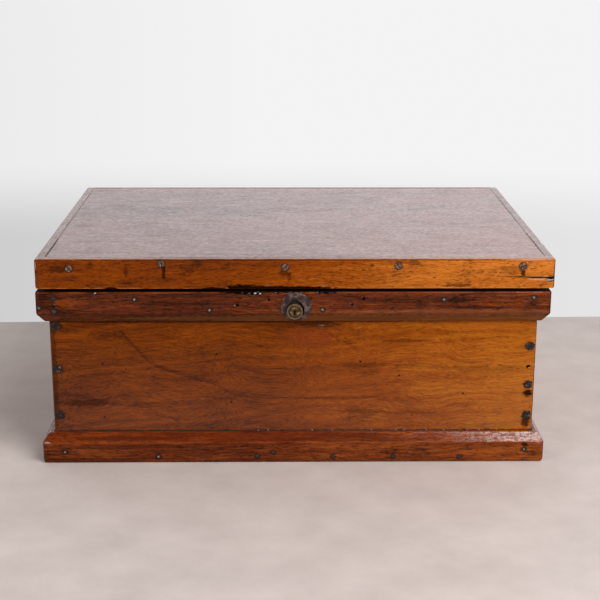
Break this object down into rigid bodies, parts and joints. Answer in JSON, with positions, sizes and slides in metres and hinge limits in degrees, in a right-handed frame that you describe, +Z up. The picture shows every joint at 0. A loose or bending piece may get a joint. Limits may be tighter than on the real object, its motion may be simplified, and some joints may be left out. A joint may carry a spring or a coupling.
{
  "type": "wooden storage chest",
  "caption": "Low rectangular wooden chest with a hinged dust-seal lid, a collar band and a plinth round the body, and a key lock in the front.",
  "frame": {"origin": "middle of the underside of the carcase, on the surface the chest stands on", "axes": "+X to the right of someone facing the front, +Y to the back, +Z up"},
  "size_m": [0.5473, 0.4012, 0.229],
  "materials": {
    "carcase_wood": "shellac polish, semi-gloss",
    "band_wood": "dark shellac polish, semi-gloss",
    "lid_rim_wood": "shellac polish, semi-gloss",
    "lid_top_wood": "worn shellac polish, satin",
    "bottom_wood": "bare planed wood",
    "aged_brass": "tarnished",
    "lock_steel": "dull",
    "dark_iron": "dark oxide"
  },
  "bodies": {
    "case": {"front_board": "carcase_wood", "back_board": "carcase_wood", "left_end_board": "carcase_wood", "right_end_board": "carcase_wood", "bottom_board": "bottom_wood", "collar_front": "band_wood", "collar_back": "band_wood", "collar_left": "band_wood", "collar_right": "band_wood", "plinth_front": "band_wood", "plinth_back": "band_wood", "plinth_left": "band_wood", "plinth_right": "band_wood", "carcase_screws": "dark_iron", "collar_nails": "dark_iron", "plinth_nails": "dark_iron", "bottom_nails": "dark_iron", "escutcheon": "dark_iron", "lock_barrel": "aged_brass", "lock_plate": "lock_steel", "lock_cover": "lock_steel", "lock_rivets": "dark_iron", "lock_screws": "dark_iron", "hinge_left_case_leaf": "aged_brass", "hinge_right_case_leaf": "aged_brass", "hinge_left_pin": "aged_brass", "hinge_right_pin": "aged_brass", "hinge_case_screws": "dark_iron"},
    "lid": {"lid_panel": "lid_top_wood", "lid_rim_front": "lid_rim_wood", "lid_rim_back": "lid_rim_wood", "lid_rim_left": "lid_rim_wood", "lid_rim_right": "lid_rim_wood", "lid_rim_screws": "dark_iron", "hinge_left_lid_leaf": "aged_brass", "hinge_right_lid_leaf": "aged_brass", "hinge_lid_screws": "dark_iron", "link_plate": "aged_brass", "link_lugs": "aged_brass", "link_screws": "dark_iron"},
    "plug": {"lock_plug": "aged_brass", "lock_cam": "lock_steel"},
    "bolt": {"lock_bolt": "lock_steel"}
  },
  "joints": [
    {"name": "lid_hinge", "type": "hinge", "parent": "case", "child": "lid", "pos_m": [0, 0.19482, 0.1952], "axis": [-1, 0, 0], "range_deg": [0, 98]},
    {"name": "plug_turn", "type": "hinge", "parent": "case", "child": "plug", "pos_m": [0.0008, -0.1965, 0.17328], "axis": [0, 1, 0], "range_deg": [0, 90]},
    {"name": "bolt_slide", "type": "slide", "parent": "case", "child": "bolt", "axis": [1, 0, 0], "range_m": [0, 0.00778]}
  ],
  "couplings": [
    {"joint": "plug_turn", "follows": "bolt_slide", "rad_per_m": 201.95}
  ]
}
